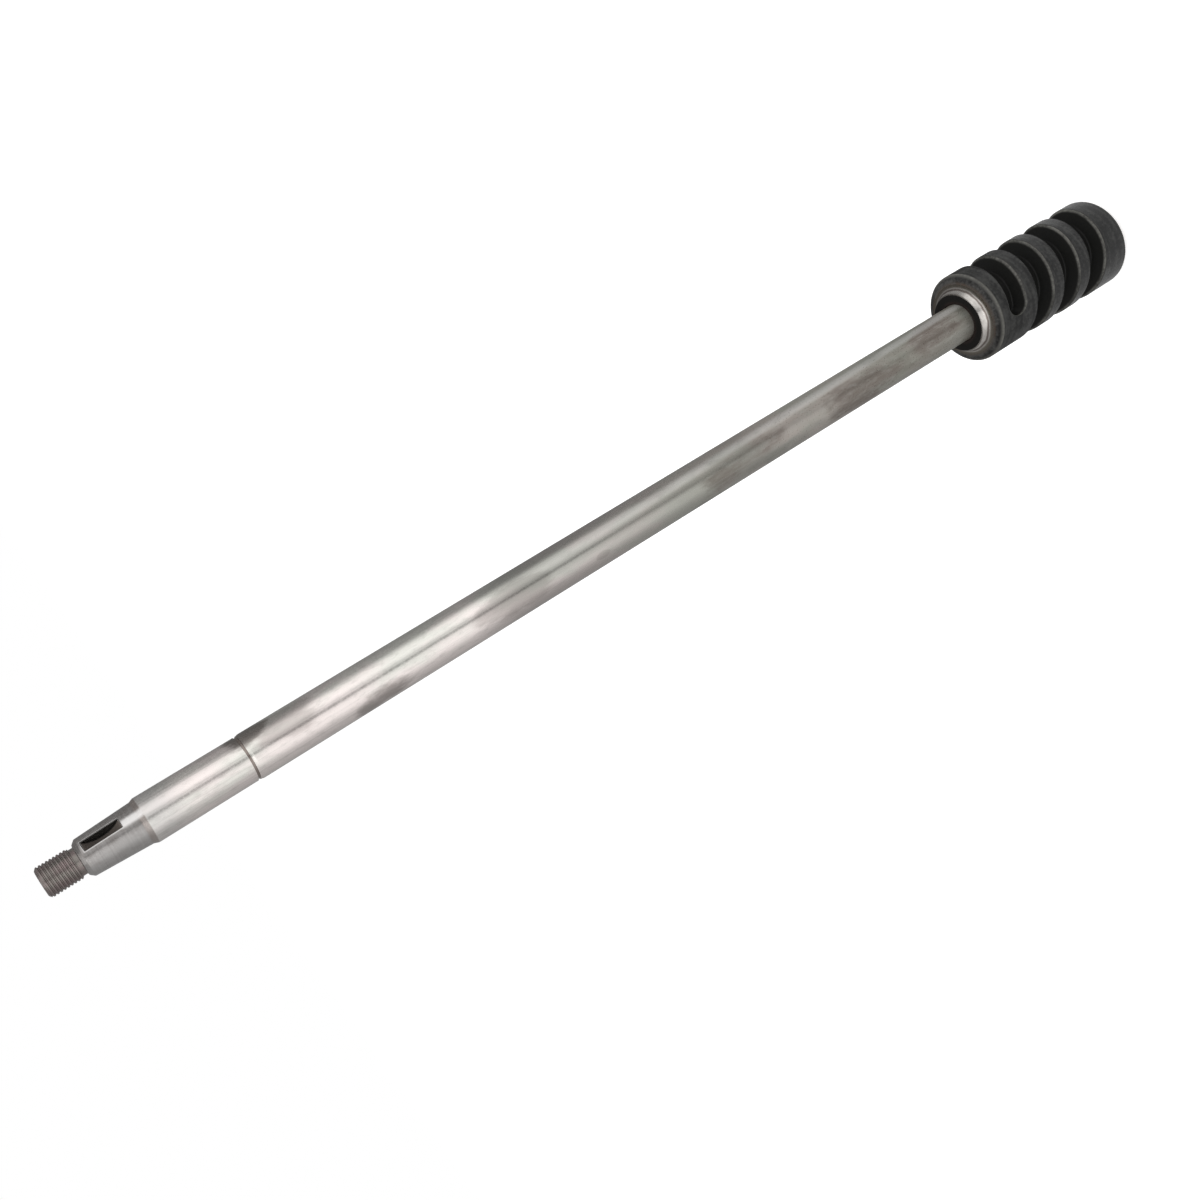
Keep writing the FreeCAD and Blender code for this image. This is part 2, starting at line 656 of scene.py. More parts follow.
    def add_sheen_and_stain_bands(self, tone: NodeSocket) -> NodeSocket:
        """Add the bands that slant down the front of the dull bar: a painted highlight band, and a
        dark band that is partly stain and partly a painted dark reflection.

        Args:
            tone: The bar's tone without them.

        Returns:
            The banded tone's socket.
        """
        slant = self.calc("MULTIPLY_ADD", self.height, self.steel.band_slant, self.across)
        front = self.times(self.fade(self.along, -5 * MM, -8 * MM), self.dullness)
        # Painted highlight band and partly painted dark band, on the front of the dull bar only.
        for band in self.steel.streaks:
            aside = self.away(slant, band.place)
            core = 0.2 * band.half_width
            beside = self.fade(aside, band.half_width, core, 0.0, band.strength)
            tone = self.tint(self.times(front, beside), tone, band.tone)
        return tone

    def plain_tone(self) -> NodeSocket:
        """Tone of the bar and journal, which darken step by step towards the worm.

        Returns:
            The tone's socket.
        """
        steel = self.steel
        steps = (
            (steel.foot_end, steel.dull_end, steel.dull),
            (steel.dull_end, steel.middle_end, steel.middle),
            (steel.middle_end, steel.bright_start, steel.bright),
        )
        tone = steel.foot
        for start, end, next_tone in steps:
            tone = self.tint(self.fade(self.reach, start, end), tone, next_tone)
        cast = self.tint(self.fade(self.hue, *steel.cast_range), steel.olive, steel.pink)
        tone = self.tint(steel.cast_share, tone, cast, Blend.MULTIPLY)
        start, end = self.bar.journal_top - 22 * MM, self.bar.journal_top - 4 * MM
        worn_lead = self.fade(self.height, start, end, 0.0, steel.worn_lead_share)
        tone = self.tint(worn_lead, tone, steel.middle)
        tone = self.tint(self.find_stains(), tone, steel.stain)
        tone = self.add_sheen_and_stain_bands(tone)
        tone = self.mark(tone, self.mottle, steel.blotches, self.dullness)
        tone = self.mark(tone, self.lines, steel.grinding)
        return self.mark(tone, self.fine, steel.specks)

    def cone_tone(self) -> NodeSocket:
        """Tone of the wheel taper: rough from turning, with painted light on its -X side, painted
        shade at the shoulder and painted highlights by the slot.

        Returns:
            The tone's socket.
        """
        steel = self.steel
        tone = self.mark(steel.cone, self.rings, steel.turned_rings)
        tone = self.mark(tone, self.fine, steel.cone_dirt)
        # Painted light: the cone's -X side is lightened towards the middle tone.
        lit_side = self.fade(self.across, -3 * MM, -9 * MM, 0.0, steel.cone_lit_side_share)
        tone = self.tint(lit_side, tone, steel.middle)
        # Painted shade: the shoulder's chamfer is darkened in the ring tone.
        shoulder = self.bar.taper_bottom
        shoulder_shade = self.fade(self.height, shoulder + 0.8 * MM, shoulder, 0.0, steel.shoulder_shade_share)
        tone = self.tint(shoulder_shade, tone, steel.ring)
        # Painted highlight on the cone between the journal and the slot.
        tone = self.tint(self.find_cone_highlight(), tone, steel.bright)
        # Painted highlight along the key slot's long edges.
        return self.tint(self.find_slot_edge_highlight(), tone, steel.bright)

    def slot_tone(self) -> NodeSocket:
        """Tone of the key slot, with painted shade on its side walls.

        Returns:
            The tone's socket.
        """
        wall = self.bar.key_width / 2
        # Painted shade on the slot's side walls.
        wall_shade = self.fade(self.calc("ABSOLUTE", self.across), wall - 0.8 * MM, wall - 0.2 * MM)
        return self.tint(wall_shade, self.steel.slot, self.steel.slot_wall_shade)

    def metal_share(self) -> NodeSocket:
        """Share of bare metal, with an oxide film towards the worm and dirt in the slot.

        Returns:
            The share's socket.
        """
        steel = self.steel
        filmed = self.fade(self.reach, steel.foot_end, steel.middle_end, steel.foot_metal, 1.0)
        on_cone = self.fade(self.on_cone, 0.0, 1.0, 1.0, steel.cone_metal)
        in_slot = self.fade(self.slot_share, 0.0, 1.0, 1.0, steel.slot_metal)
        return self.times(filmed, on_cone, in_slot)

    def roughness(self) -> NodeSocket:
        """Roughness, which rises towards the worm and on the cone and thread.

        Returns:
            The roughness's socket.
        """
        steel = self.steel
        bright, dull = steel.bright_roughness, steel.dull_roughness
        rough = self.fade(self.dullness, 0.0, 1.0, bright, dull)
        rough = self.calc("ADD", rough, self.vary(self.grain, *steel.grain_roughness))
        rough = self.calc("MULTIPLY_ADD", self.on_cone, steel.cone_roughness, rough)
        return self.calc("MULTIPLY_ADD", self.on_thread, steel.thread_roughness, rough)

    def build(self) -> Material:
        """Dress the shader.

        Returns:
            The finished material.
        """
        steel = self.steel
        thread_tone = self.mark(steel.thread, self.fine, steel.thread_dirt)
        tone = self.tint(self.on_cone, self.plain_tone(), self.cone_tone())
        tone = self.tint(self.on_thread, tone, thread_tone)
        tone = self.tint(self.find_ring(), tone, steel.ring)
        tone = self.tint(self.slot_share, tone, self.slot_tone())
        self.dress(
            {"Base Color": tone, "Metallic": self.metal_share(), "Roughness": self.roughness()}
        )
        relief = self.calc("MULTIPLY_ADD", self.lines, steel.line_relief, self.grain)
        turned = self.times(self.rings, self.on_cone)
        relief = self.calc("MULTIPLY_ADD", turned, steel.ring_relief, relief)
        self.emboss(relief, steel.relief_depth)
        return self.material


@dataclass(frozen=True)
class BlackSteel:
    """Quench-blackened steel with painted shade in the groove, lighter edges that are partly wear
    and partly painted highlight, and polished ball races.
    """

    land: Colour = colour(0.031, 0.031, 0.030)
    dark_land: Colour = colour(0.007, 0.007, 0.007)
    # The groove's tone, far darker than the land's, is painted shade in the deep groove.
    groove: Colour = colour(0.005, 0.005, 0.0045)
    # Lighter edges: partly wear and partly painted highlight.
    edge: Colour = colour(0.090, 0.088, 0.080)
    rim: Colour = colour(0.046, 0.045, 0.043)
    face: Colour = colour(0.005, 0.0045, 0.004)
    brown: Colour = colour(0.014, 0.009, 0.008)
    scorch: Colour = colour(0.060, 0.042, 0.030)
    race: Colour = colour(0.66, 0.63, 0.60)
    # A line round the race: partly a brown mark and partly a painted dark reflection band.
    race_line: Colour = colour(0.13, 0.102, 0.088)
    race_stain: Colour = colour(0.17, 0.150, 0.120)
    dark_patches: Marks = Marks(0.40, 0.58, 1.0, dark_land)
    race_specks: Marks = Marks(0.40, 0.75, 0.30, race_stain)
    worn_share: tuple[float, float] = (0.25, 1.0)
    foot_shade: float = 0.03
    scorch_share: float = 0.80
    specular: float = 0.15
    roughness: tuple[float, float] = (0.40, 0.55)
    fine_relief: float = 2.0
    relief_depth: float = 0.02 * MM
    race_wander: float = 0.6 * MM
    race_brown_share: float = 0.90
    race_line_place: float = 0.36
    race_line_share: float = 0.85
    race_roughness: tuple[float, float] = (0.16, 0.28)

    def material(self, worm: "Worm") -> Material:
        """Build the black finish for a worm of those sizes."""
        return WormSheet(self, worm).build()

    def race_material(self, worm: "Worm") -> Material:
        """Build the finish of the ground ball races, browned towards their outer edge.

        Args:
            worm: The worm whose races are dressed.

        Returns:
            The finished material.
        """
        sheet = NodeSheet("ground_race")
        fine = sheet.noise((450.0, 450.0, 450.0), detail=5.0, roughness=0.6)
        mottle = sheet.noise((130.0, 130.0, 130.0), detail=4.0, shift=2.7)
        reach = sheet.calc("ADD", sheet.radius(), sheet.swing(mottle, self.race_wander))
        brown_start, brown_end = worm.rim_radius - 2.9 * MM, worm.rim_radius - 1.2 * MM
        browned = sheet.fade(reach, brown_start, brown_end, 0.0, self.race_brown_share)
        # A darker line round the race: partly a brown mark and partly a painted dark reflection
        # band.
        line = worm.lip_radius + self.race_line_place * worm.race_radius
        off_line = sheet.away(reach, line)
        on_line = sheet.fade(off_line, 0.70 * MM, 0.15 * MM, 0.0, self.race_line_share)
        tone = sheet.mark(self.race, fine, self.race_specks)
        tone = sheet.tint(browned, tone, self.race_stain)
        tone = sheet.tint(on_line, tone, self.race_line)
        rough = sheet.vary(fine, *self.race_roughness)
        sheet.dress({"Base Color": tone, "Metallic": 1.0, "Roughness": rough})
        return sheet.material


class WormSheet(NodeSheet):
    """Nodes of the worm's black finish, with the noises and places that it reads."""

    def __init__(self, steel: BlackSteel, worm: "Worm") -> None:
        """Lay out the noises, and measure from the axis and from the nearer end face.

        Args:
            steel: The tones and shares of the finish.
            worm: The worm that it dresses.
        """
        super().__init__("hardened_steel")
        self.steel = steel
        self.worm = worm
        self.from_axis = self.radius()
        other_end = self.calc("SUBTRACT", worm.length, self.height)
        self.from_end = self.calc("MINIMUM", self.height, other_end)
        mottle = self.noise((110.0, 110.0, 110.0), detail=6.0, roughness=0.6, shift=1.3)
        rings = self.noise((9.0, 9.0, 320.0), shift=8.2)
        self.fine = self.noise((600.0, 600.0, 600.0), detail=4.0, roughness=0.6, shift=4.6)
        self.grain = self.noise((1600.0, 1600.0, 1600.0), shift=5.9)
        coarse_share, fine_share = 0.35, 0.30
        patches = self.calc("MULTIPLY", mottle, coarse_share)
        patches = self.calc("MULTIPLY_ADD", rings, coarse_share, patches)
        self.patches = self.calc("MULTIPLY_ADD", self.fine, fine_share, patches)
        self.worn = self.fade(self.patches, 0.40, 0.60, *steel.worn_share)

    def groove_tone(self) -> NodeSocket:
        """Tone of the peg groove, darkened as painted shade, with its mouth lighter in places,
        partly from wear and partly as painted highlight.

        Returns:
            The tone's socket.
        """
        shoulder = self.worm.radius - self.worm.groove_chamfer
        # Lighter groove mouth: partly wear and partly painted highlight.
        on_edge = self.fade(self.from_axis, shoulder - 0.9 * MM, shoulder + 0.6 * MM)
        return self.tint(self.times(on_edge, self.worn), self.steel.groove, self.steel.edge)

    def land_tone(self) -> NodeSocket:
        """Tone of the lands, with dark patches and a darker foot.

        Returns:
            The tone's socket.
        """
        foot_shade = self.fade(self.height, 90 * MM, 15 * MM, 0.0, self.steel.foot_shade)
        patches = self.calc("ADD", self.patches, foot_shade)
        return self.mark(self.steel.land, patches, self.steel.dark_patches)

    def end_tone(self) -> NodeSocket:
        """Tone of the end faces and their rims, brown at the bar and scorched at the race.

        Returns:
            The tone's socket.
        """
        bore = self.worm.bore_radius
        near_bar = self.fade(self.from_axis, bore + 3.0 * MM, bore + 1.0 * MM)
        face = self.tint(self.times(near_bar, self.worn), self.steel.face, self.steel.brown)
        mouth = self.worm.rim_radius
        share = self.steel.scorch_share
        scorched = self.fade(self.from_axis, mouth + 1.6 * MM, mouth, 0.0, share)
        slope = self.mark(self.steel.rim, self.patches, self.steel.dark_patches)
        slope = self.tint(self.times(scorched, self.worn), slope, self.steel.scorch)
        return self.tint(self.fade(self.from_end, 0.2 * MM, 0.4 * MM), face, slope)

    def build(self) -> Material:
        """Dress the shader.

        Returns:
            The finished material.
        """
        surface = self.worm.radius
        on_land = self.fade(self.from_axis, surface - 0.25 * MM, surface - 0.05 * MM)
        middle = self.tint(on_land, self.groove_tone(), self.land_tone())
        rim_height = self.worm.rim_height
        past_rim = self.fade(self.from_end, rim_height - 0.2 * MM, rim_height + 0.2 * MM)
        tone = self.tint(past_rim, self.end_tone(), middle)
        # Lighter line at the rim's outer edge: partly wear and partly painted highlight.
        on_rim_edge = self.fade(self.away(self.from_end, rim_height), 1.2 * MM, 0.0)
        tone = self.tint(self.times(on_rim_edge, self.worn), tone, self.steel.edge)
        rough = self.vary(self.grain, *self.steel.roughness)
        self.dress(
            {
                "Base Color": tone,
                "Metallic": 0.0,
                "Specular IOR Level": self.steel.specular,
                "Roughness": rough,
            }
        )
        relief = self.calc("MULTIPLY_ADD", self.fine, self.steel.fine_relief, self.grain)
        self.emboss(relief, self.steel.relief_depth)
        return self.material


@dataclass
class WheelEndBar:
    """Ground bar with journal, keyed cone and wheel thread."""

    name: str = "bar"
    bar_radius: float = 11.0 * MM
    bar_length: float = 458.7 * MM
    foot_chamfer: float = 0.6 * MM
    bar_lead: float = 1.0 * MM
    journal_radius: float = 10.7 * MM
    journal_length: float = 46.7 * MM
    journal_lead: float = 2.0 * MM
    ring_land: float = 0.4 * MM
    ring_width: float = 1.1 * MM
    ring_depth: float = 0.5 * MM
    taper_radius: float = 9.9 * MM
    taper_length: float = 25.1 * MM
    taper_slope: float = 0.05
    taper_nose: float = 1.8 * MM
    relief_radius: float = 6.1 * MM
    relief_length: float = 2.1 * MM
    thread_radius: float = 7.0 * MM
    thread_root: float = 6.5 * MM
    thread_length: float = 14.6 * MM
    thread_pitch: float = 1.5 * MM
    thread_flank: float = math.radians(30.0)
    crest_rounding: float = 0.05 * MM
    root_rounding: float = 0.06 * MM
    thread_segments: int = 2
    thread_foot_chamfer: float = 0.6 * MM
    thread_tip_chamfer: float = 1.3 * MM
    spigot_radius: float = 5.0 * MM
    key_width: float = 5.0 * MM
    key_cutter_radius: float = 9.5 * MM
    key_depth: float = 5.5 * MM
    key_from_tip: float = 27.9 * MM
    break_edge: float = 0.15 * MM

    def __post_init__(self) -> None:
        """Stack the heights up from the worm's end face."""
        self.bar_top = WORM_LENGTH + self.bar_length
        self.journal_foot = self.bar_top + self.bar_lead
        self.ring_bottom = self.journal_foot + self.ring_land
        self.ring_top = self.ring_bottom + self.ring_width
        self.journal_top = self.ring_top + self.journal_length
        self.taper_bottom = self.journal_top + self.journal_lead
        self.taper_top = self.taper_bottom + self.taper_length
        self.relief_bottom = self.taper_top + self.taper_nose
        self.thread_bottom = self.relief_bottom + self.relief_length
        self.top = self.thread_bottom + self.thread_length
        self.key_height = self.top - self.key_from_tip

    def cone_radius(self, height: float) -> float:
        """Radius of the wheel taper at a height."""
        return self.taper_radius - self.taper_slope * (height - self.taper_bottom)

    def key_reach(self) -> float:
        """Half the key slot's length along the bar."""
        rise = self.key_cutter_radius - self.key_depth
        return math.sqrt(self.key_cutter_radius**2 - rise**2)

    def blank(self) -> Mesh:
        """Turn the bar up to the relief, with a spigot that enters the thread.

        Returns:
            The bar's mesh, without slot and thread.
        """
        ring_radius = self.journal_radius - self.ring_depth
        spigot_top = self.thread_bottom + self.thread_pitch
        edge = self.break_edge
        corners = [
            Corner(0.0, 0.0),
            Corner(self.bar_radius - self.foot_chamfer, 0.0),
            Corner(self.bar_radius, self.foot_chamfer),
            Corner(self.bar_radius, self.bar_top, 2 * edge),
            Corner(self.journal_radius, self.journal_foot, edge),
            Corner(self.journal_radius, self.ring_bottom, edge / 2),
            Corner(ring_radius, self.ring_bottom, edge),
            Corner(ring_radius, self.ring_top, edge),
            Corner(self.journal_radius, self.ring_top, edge),
            Corner(self.journal_radius, self.journal_top, 2 * edge),
            Corner(self.taper_radius, self.taper_bottom, edge),
            Corner(self.cone_radius(self.taper_top), self.taper_top, 2 * edge),
            Corner(self.thread_radius, self.relief_bottom, edge),
            Corner(self.relief_radius, self.relief_bottom + edge, 2 * edge),
            Corner(self.relief_radius, self.thread_bottom + edge),
            Corner(self.spigot_radius, self.thread_bottom + edge),
            Corner(self.spigot_radius, spigot_top),
            Corner(0.0, spigot_top),
        ]
        return store(turn_solid(corners), "bar_blank")

    def key_cutter(self) -> Mesh:
        """Make the disc that mills the key slot, with its axis across the bar.

        Returns:
            The disc's mesh.
        """
        surface = self.cone_radius(self.key_height)
        distance = surface - self.key_depth + self.key_cutter_radius
        across = Matrix.Rotation(math.radians(90.0), 4, "Y")
        disc = bmesh.new()
        bmesh.ops.create_cone(
            disc,
            cap_ends=True,
            segments=ROUND_STEPS,
            radius1=self.key_cutter_radius,
            radius2=self.key_cutter_radius,
            depth=self.key_width,
            matrix=Matrix.Translation((0.0, -distance, self.key_height)) @ across,
        )
        return store(disc, "key_cutter")

    def thread_profile(self, spare_turns: int) -> list[Corner]:
        """Draw the thread's profile, with turns to spare past both ends.

        Args:
            spare_turns: The number of turns past each end.

        Returns:
            The profile's corners, from the lowest up.
        """
        pitch = self.thread_pitch
        turns = round(self.thread_length / pitch) + 2 * spare_turns
        start = self.thread_bottom - spare_turns * pitch
        crest_half = pitch / 5
        flank_run = (self.thread_radius - self.thread_root) * math.tan(self.thread_flank)
        root_half = crest_half + flank_run
        ridge = (
            (self.thread_root, -root_half, self.root_rounding),
            (self.thread_radius, -crest_half, self.crest_rounding),
            (self.thread_radius, crest_half, self.crest_rounding),
            (self.thread_root, root_half, self.root_rounding),
        )
        return [
            Corner(radius, start + turn * pitch + rise, rounding, self.thread_segments)
            for turn in range(turns)
            for radius, rise, rounding in ridge
        ]

    def thread(self) -> Mesh:
        """Roll the thread: one turn of its profile, joined to itself one pitch up.

        Returns:
            The thread's mesh, a little longer than the thread at both ends.
        """
        overrun = 0.3 * self.thread_pitch
        ridge = draw_outline(self.thread_profile(spare_turns=2))
        bmesh.ops.spin(
            ridge,
            geom=ridge.verts[:] + ridge.edges[:],
            cent=ORIGIN,
            axis=AXIS,
            dvec=AXIS * self.thread_pitch / ROUND_STEPS,
            angle=math.tau,
            steps=ROUND_STEPS,
            use_merge=False,
        )
        bmesh.ops.remove_doubles(ridge, verts=ridge.verts[:], dist=WELD_GAP)
        for height, side in ((self.thread_bottom - overrun, -1), (self.top + overrun, 1)):
            bmesh.ops.bisect_plane(
                ridge,
                geom=ridge.verts[:] + ridge.edges[:] + ridge.faces[:],
                plane_co=AXIS * height,
                plane_no=AXIS * side,
                clear_outer=True,
            )
        bmesh.ops.holes_fill(ridge, edges=ridge.edges[:], sides=0)
        bmesh.ops.recalc_face_normals(ridge, faces=ridge.faces[:])
        return store(ridge, "thread_ridge")

    def thread_envelope(self) -> Mesh:
        """Turn the space that the thread may fill, with its foot and tip chamfers.

        Returns:
            The envelope's mesh.
        """
        proud = 0.1 * MM
        radius = self.thread_radius + proud
        corners = [
            Corner(0.0, self.thread_bottom),
            Corner(self.thread_radius - self.thread_foot_chamfer, self.thread_bottom),
            Corner(radius, self.thread_bottom + self.thread_foot_chamfer + proud),
            Corner(radius, self.top - self.thread_tip_chamfer + proud),
            Corner(self.thread_radius - self.thread_tip_chamfer, self.top, 2 * self.break_edge),
            Corner(0.0, self.top),
        ]
        return store(turn_solid(corners), "thread_envelope")

    def build(self) -> Object:
        """Make the bar and dress it.

        Returns:
            The finished piece.
        """
        slotted = carve(self.blank(), self.key_cutter(), Carve.CUT)
        thread = carve(self.thread(), self.thread_envelope(), Carve.KEEP_INSIDE)
        whole = carve(slotted, thread, Carve.JOIN)
        return finish_piece(self.name, whole, BarSteel().material(self), "shaft")


@dataclass
class Worm:
    """Hardened worm, shrunk on the bar's foot, with a ball race in each end face."""

    name: str = "worm_body"
    radius: float = 26.3 * MM
    length: float = WORM_LENGTH
    bore_radius: float = 11.01 * MM
    bore_chamfer: float = 0.6 * MM
    lip_radius: float = 16.9 * MM
    race_radius: float = 4.6 * MM
    race_segments: int = 14
    rim_slope_length: float = 2.8 * MM
    land_edge: float = 0.4 * MM
    lip_edge: float = 0.2 * MM
    groove_lead: float = 24.0 * MM
    groove_half_width: float = 6.7 * MM
    groove_depth: float = 9.0 * MM
    groove_chamfer: float = 1.1 * MM
    groove_floor_rounding: float = 0.8 * MM
    groove_edge_rounding: float = 0.3 * MM
    flank_angle: float = math.radians(11.0)
    end_inset: float = 21.9 * MM
    upper_end_azimuth: float = math.radians(221.5)
    steps_per_turn: int = 120
    steps_per_end: int = 36

    def __post_init__(self) -> None:
        """Work out where the race meets the rim, and the rim the land."""
        self.rim_radius = self.lip_radius + self.race_radius
        self.rim_height = self.race_radius + self.rim_slope_length

    def blank(self) -> Mesh:
        """Turn the body with its bore, rims and races.

        Returns:
            The body's mesh, without its groove.
        """
        arc = self.race_radius - self.lip_edge
        race_height = self.length - self.race_radius
        upper = [
            Corner(self.bore_radius, self.length - self.bore_chamfer),
            Corner(self.bore_radius + self.bore_chamfer, self.length),
            Corner(self.lip_radius, self.length, self.lip_edge),
            Corner(self.lip_radius, race_height, arc, self.race_segments),
            Corner(self.rim_radius, race_height, self.lip_edge),
            Corner(self.radius, race_height - self.rim_slope_length, self.land_edge),
        ]
        lower = [
            Corner(corner.radius, self.length - corner.height, corner.rounding, corner.segments)
            for corner in reversed(upper)
        ]
        body = turn_solid(upper + lower + upper[:1], 2 * ROUND_STEPS)
        return store(body, "worm_blank")

    def groove_half(self) -> list[Corner]:
        """Draw half of the groove's section, with a lip that clears the worm's surface.

        Returns:
            The corners, from the middle of the groove's floor outwards.
        """
        floor = self.radius - self.groove_depth
        shoulder = self.radius - self.groove_chamfer
        run = (shoulder - floor) * math.tan(self.flank_angle)
        mouth = self.groove_half_width + self.groove_chamfer
        rounding = self.groove_edge_rounding
        lip_drop = 0.05 * MM
        lip_height, lip_width = 1.5 * MM, 3.0 * MM
        return [
            Corner(floor, 0.0),
            Corner(floor, self.groove_half_width - run, self.groove_floor_rounding),
            Corner(shoulder, self.groove_half_width, rounding),
            Corner(self.radius - lip_drop, mouth - lip_drop, rounding),
            Corner(self.radius + lip_height, mouth + lip_width),
            Corner(self.radius + lip_height, 0.0),
        ]

    def groove_cutter(self) -> Mesh:
        """Sweep the groove's cutter up its helix, with a round end at each end.

        Returns:
            The cutter's mesh.
        """
        rise = self.length - 2 * self.end_inset
        turn = -math.tau * rise / self.groove_lead
        steps = round(abs(turn) / math.tau * self.steps_per_turn)
        cutter = draw_outline(self.groove_half())
        inward = Vector((-1.0, 0.0, 0.0))
        self.round_end(cutter, cutter.verts[:] + cutter.edges[:], inward, 0.0)
        rim = [edge for edge in cutter.edges if edge.is_boundary]
        swept = bmesh.ops.spin(
            cutter,
            geom=self.points_of(rim) + rim,
            cent=ORIGIN,
            axis=AXIS,
            dvec=AXIS * rise / steps,
            angle=turn,
            steps=steps,
            use_merge=False,
        )
        last_rim = [item for item in swept["geom_last"] if isinstance(item, BMEdge)]
        upper_half = [
            edge for edge in last_rim if sum(point.co.z for point in edge.verts) > 2 * rise
        ]
        outward = Vector((math.cos(turn), math.sin(turn), 0.0))
        self.round_end(cutter, self.points_of(upper_half) + upper_half, outward, rise)
        start_azimuth = self.upper_end_azimuth - turn
        placed = Matrix.Translation(AXIS * self.end_inset) @ Matrix.Rotation(start_azimuth, 4, "Z")
        bmesh.ops.transform(cutter, matrix=placed, verts=cutter.verts[:])
        bmesh.ops.recalc_face_normals(cutter, faces=cutter.faces[:])
        return store(cutter, "groove_cutter")

    def points_of(self, edges: Sequence[BMEdge]) -> list[BMVert]:
        """End points of some edges, each once."""
        return list(dict.fromkeys(point for edge in edges for point in edge.verts))

    def round_end(
        self,
        cutter: BMesh,
        half: list[BMVert | BMEdge],
        axis: Vector,
        height: float,
    ) -> None:
        """Spin half of the groove's section by half a turn into a round end.

        Args:
            cutter: The cutter's mesh.
            half: The half section's points and edges.
            axis: The radial axis that the half section turns about.
            height: The axis's height.
        """
        bmesh.ops.spin(
            cutter,
            geom=half,
            cent=AXIS * height,
            axis=axis,
            dvec=ORIGIN,
            angle=math.pi,
            steps=self.steps_per_end,
            use_merge=False,
        )
        bmesh.ops.remove_doubles(cutter, verts=cutter.verts[:], dist=WELD_GAP)

    def dress_races(self, body: Mesh, race_finish: Material) -> None:
        """Give the faces of both ball races their own finish.

        Args:
            body: The worm's mesh, with its black finish.
            race_finish: The races' finish.
        """
        body.materials.append(race_finish)
        inner_edge = self.lip_radius - 0.01 * MM
        for face in body.polygons:
            distance = math.hypot(face.center.x, face.center.y)
            from_end = min(face.center.z, self.length - face.center.z)
            if inner_edge < distance < self.rim_radius and from_end < self.race_radius:
                face.material_index = 1

    def build(self) -> Object:
        """Make the worm and dress it.

        Returns:
            The finished piece.
        """
        body = carve(self.blank(), self.groove_cutter(), Carve.CUT)
        finish = BlackSteel()
        piece = finish_piece(self.name, body, finish.material(self), "worm")
        self.dress_races(body, finish.race_material(self))
        return piece


@dataclass(frozen=True)
class TentTone:
    """How bright the tent is in one direction from the part's axis, in degrees from +X."""

    azimuth: float
    level: float


@dataclass(frozen=True)
class Lamp:
    """A soft square lamp: its place, its power in watts, its side and what it faces."""

    name: str
    place: tuple[float, float, float]
    power: float
    side: float = 1.2
    aim: tuple[float, float, float] = (0.0, 0.0, 0.3)

    def hang(self) -> None:
        """Hang the lamp in its place and turn it to its aim."""
        data = bpy.data.lights.new(self.name, "AREA")
        data.size = self.side
        data.energy = self.power
        lamp = put_in_scene(self.name, data)
        lamp.location = self.place
        facing = Vector(self.aim) - Vector(self.place)
        lamp.rotation_euler = facing.to_track_quat("-Z", "Y").to_euler()


def seen_light(tree: NodeTree) -> NodeSocket:
    """Tell the rays that show a surface from the light that it casts on the part.

    Args:
        tree: The node tree that asks.

    Returns:
        1 for rays from the camera, a reflection or glass, and 0 for others.
    """
    path = tree.nodes.new("ShaderNodeLightPath")
    total = path.outputs["Is Camera Ray"]
    for kind in ("Is Glossy Ray", "Is Transmission Ray"):
        largest = tree.nodes.new("ShaderNodeMath")
        largest.operation = "MAXIMUM"
        tree.links.new(total, largest.inputs[0])
        tree.links.new(path.outputs[kind], largest.inputs[1])
        total = largest.outputs[0]
    return total


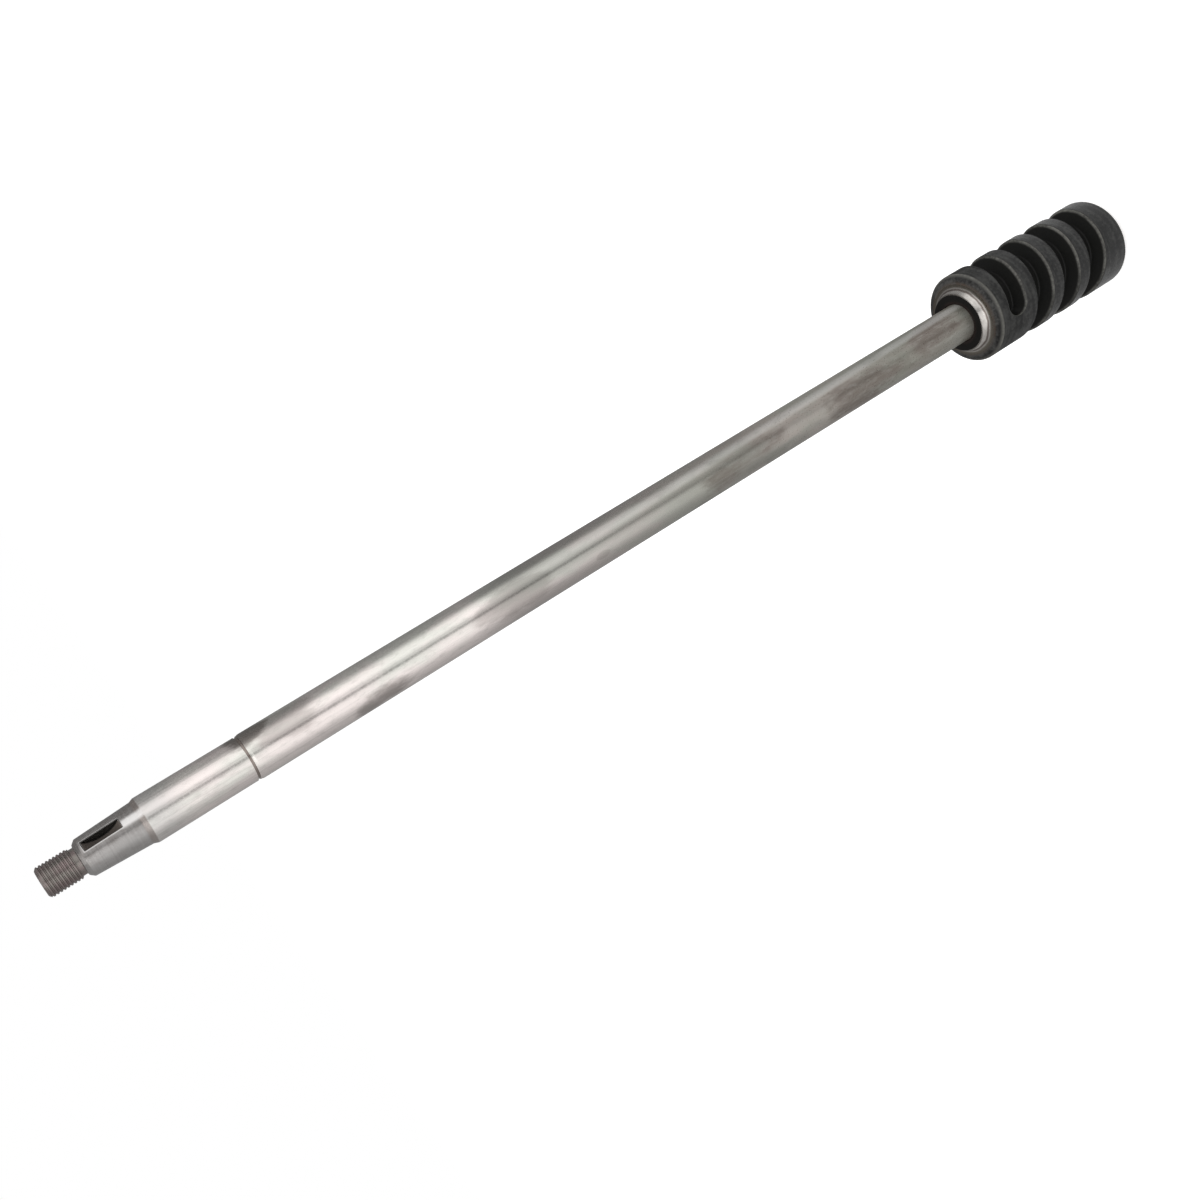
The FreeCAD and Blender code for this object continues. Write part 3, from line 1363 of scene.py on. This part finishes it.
@dataclass
class Studio:
    """Pale floor, soft lamps, and a tent that only shows in the metal's reflections."""

    white: Colour = colour(1.0, 1.0, 1.0)
    black: Colour = colour(0.0, 0.0, 0.0)
    world_seen: float = 1.0
    world_cast: float = 0.7
    floor_half: float = 6.0
    floor_grey: Colour = colour(0.8, 0.8, 0.8)
    floor_roughness: float = 0.9
    floor_glow: float = 0.5
    tent_radius: float = 90 * MM
    tent_height: float = 900 * MM
    tent_steps: int = 180
    tent_tones: tuple[TentTone, ...] = (
        TentTone(-180.0, 0.74),
        TentTone(-168.0, 0.92),
        TentTone(-152.0, 1.02),
        TentTone(-136.0, 0.97),
        TentTone(-126.5, 0.86),
        TentTone(-123.0, 0.38),
        TentTone(-116.0, 0.38),
        TentTone(-112.5, 0.76),
        TentTone(-105.0, 0.82),
        TentTone(-95.0, 1.05),
        TentTone(-88.0, 1.12),
        TentTone(-72.0, 1.02),
        TentTone(-60.0, 0.84),
        TentTone(-54.0, 0.62),
        TentTone(-44.0, 0.37),
        TentTone(-34.0, 0.29),
        TentTone(-8.0, 0.25),
        TentTone(20.0, 0.24),
        TentTone(52.0, 0.22),
        TentTone(80.0, 0.32),
        TentTone(128.0, 0.40),
        TentTone(153.0, 0.47),
        TentTone(174.0, 0.64),
        TentTone(180.0, 0.74),
    )
    lamps: tuple[Lamp, ...] = (
        Lamp("key", (-0.9, -0.9, 1.6), 22.0),
        Lamp("fill", (1.2, -0.6, 1.0), 15.0),
    )
    lens: float = 39.2256
    sensor_width: float = 36.0
    nearest_seen: float = 10 * MM
    farthest_seen: float = 50.0
    camera_place: tuple[float, float, float] = (-0.29108, -0.49925, 0.66426)
    camera_right: tuple[float, float, float] = (-0.63434, -0.05211, -0.77131)
    camera_up: tuple[float, float, float] = (0.64418, -0.58721, -0.49012)
    camera_back: tuple[float, float, float] = (-0.42738, -0.80776, 0.40606)

    def camera(self) -> None:
        """Place the camera at the photograph's viewing angle."""
        data = bpy.data.cameras.new("camera")
        data.lens = self.lens
        data.sensor_width = self.sensor_width
        data.clip_start = self.nearest_seen
        data.clip_end = self.farthest_seen
        camera = put_in_scene("camera", data)
        sides = (self.camera_right, self.camera_up, self.camera_back)
        turned = Matrix(sides).transposed().to_4x4()
        camera.matrix_world = Matrix.Translation(self.camera_place) @ turned
        bpy.context.scene.camera = camera

    def world(self) -> None:
        """Make white surroundings, which light the part a little less than they show."""
        world = bpy.data.worlds.new("studio")
        world.use_nodes = True
        tree = world.node_tree
        strength = tree.nodes.new("ShaderNodeMapRange")
        tree.links.new(seen_light(tree), strength.inputs["Value"])
        strength.inputs["To Min"].default_value = self.world_cast
        strength.inputs["To Max"].default_value = self.world_seen
        background = tree.nodes["Background"]
        background.inputs["Color"].default_value = self.white
        tree.links.new(strength.outputs[0], background.inputs["Strength"])
        bpy.context.scene.world = world

    def floor(self) -> None:
        """Lay the pale floor under the worm's end face."""
        plane = bmesh.new()
        bmesh.ops.create_grid(plane, x_segments=1, y_segments=1, size=self.floor_half)
        floor = put_in_scene("floor", store(plane, "floor"))
        sheet = NodeSheet("floor")
        sheet.dress(
            {
                "Base Color": self.floor_grey,
                "Roughness": self.floor_roughness,
                "Specular IOR Level": 0.0,
                "Emission Color": self.white,
                "Emission Strength": sheet.times(seen_light(sheet.tree), self.floor_glow),
            }
        )
        floor.data.materials.append(sheet.material)

    def tent_finish(self) -> Material:
        """Make the tent's glow, which changes with the direction from the part's axis.

        Returns:
            The tent's material.
        """
        sheet = NodeSheet("tent")
        ramp = sheet.tree.nodes.new("ShaderNodeValToRGB")
        sheet.feed(ramp.inputs[0], sheet.calc("ADD", sheet.azimuth(), 0.5))
        stops = ramp.color_ramp.elements
        for index, tone in enumerate(self.tent_tones):
            place = tone.azimuth / 360.0 + 0.5
            stop = stops[index] if index < len(stops) else stops.new(place)
            stop.position = place
            stop.color = colour(tone.level, tone.level, tone.level)
        sheet.dress(
            {
                "Base Color": self.black,
                "Specular IOR Level": 0.0,
                "Emission Color": ramp.outputs[0],
                "Emission Strength": 1.0,
            }
        )
        return sheet.material

    def tent(self) -> None:
        """Stand a tent round the part that only its reflections show."""
        wall = bmesh.new()
        bmesh.ops.create_cone(
            wall,
            cap_ends=False,
            segments=self.tent_steps,
            radius1=self.tent_radius,
            radius2=self.tent_radius,
            depth=self.tent_height,
            matrix=Matrix.Translation(AXIS * self.tent_height / 2),
        )
        tent = put_in_scene("tent", store(wall, "tent"))
        tent.data.materials.append(self.tent_finish())
        for kind in ("camera", "diffuse", "shadow", "transmission", "volume_scatter"):
            setattr(tent, "visible_" + kind, False)

    def build(self) -> None:
        """Set up the surroundings, the lamps and the camera."""
        self.world()
        self.floor()
        self.tent()
        for lamp in self.lamps:
            lamp.hang()
        self.camera()
        bpy.context.scene.view_settings.view_transform = "Standard"


def main() -> None:
    """Build the pieces and the studio."""
    logging.basicConfig(level=logging.INFO, format="%(message)s")
    for sub_assembly in (WheelEndBar(), Worm()):
        piece = sub_assembly.build()
        log.info("%s: %d faces", piece.name, len(piece.data.polygons))
    Studio().build()


if __name__ == "__main__":
    main()
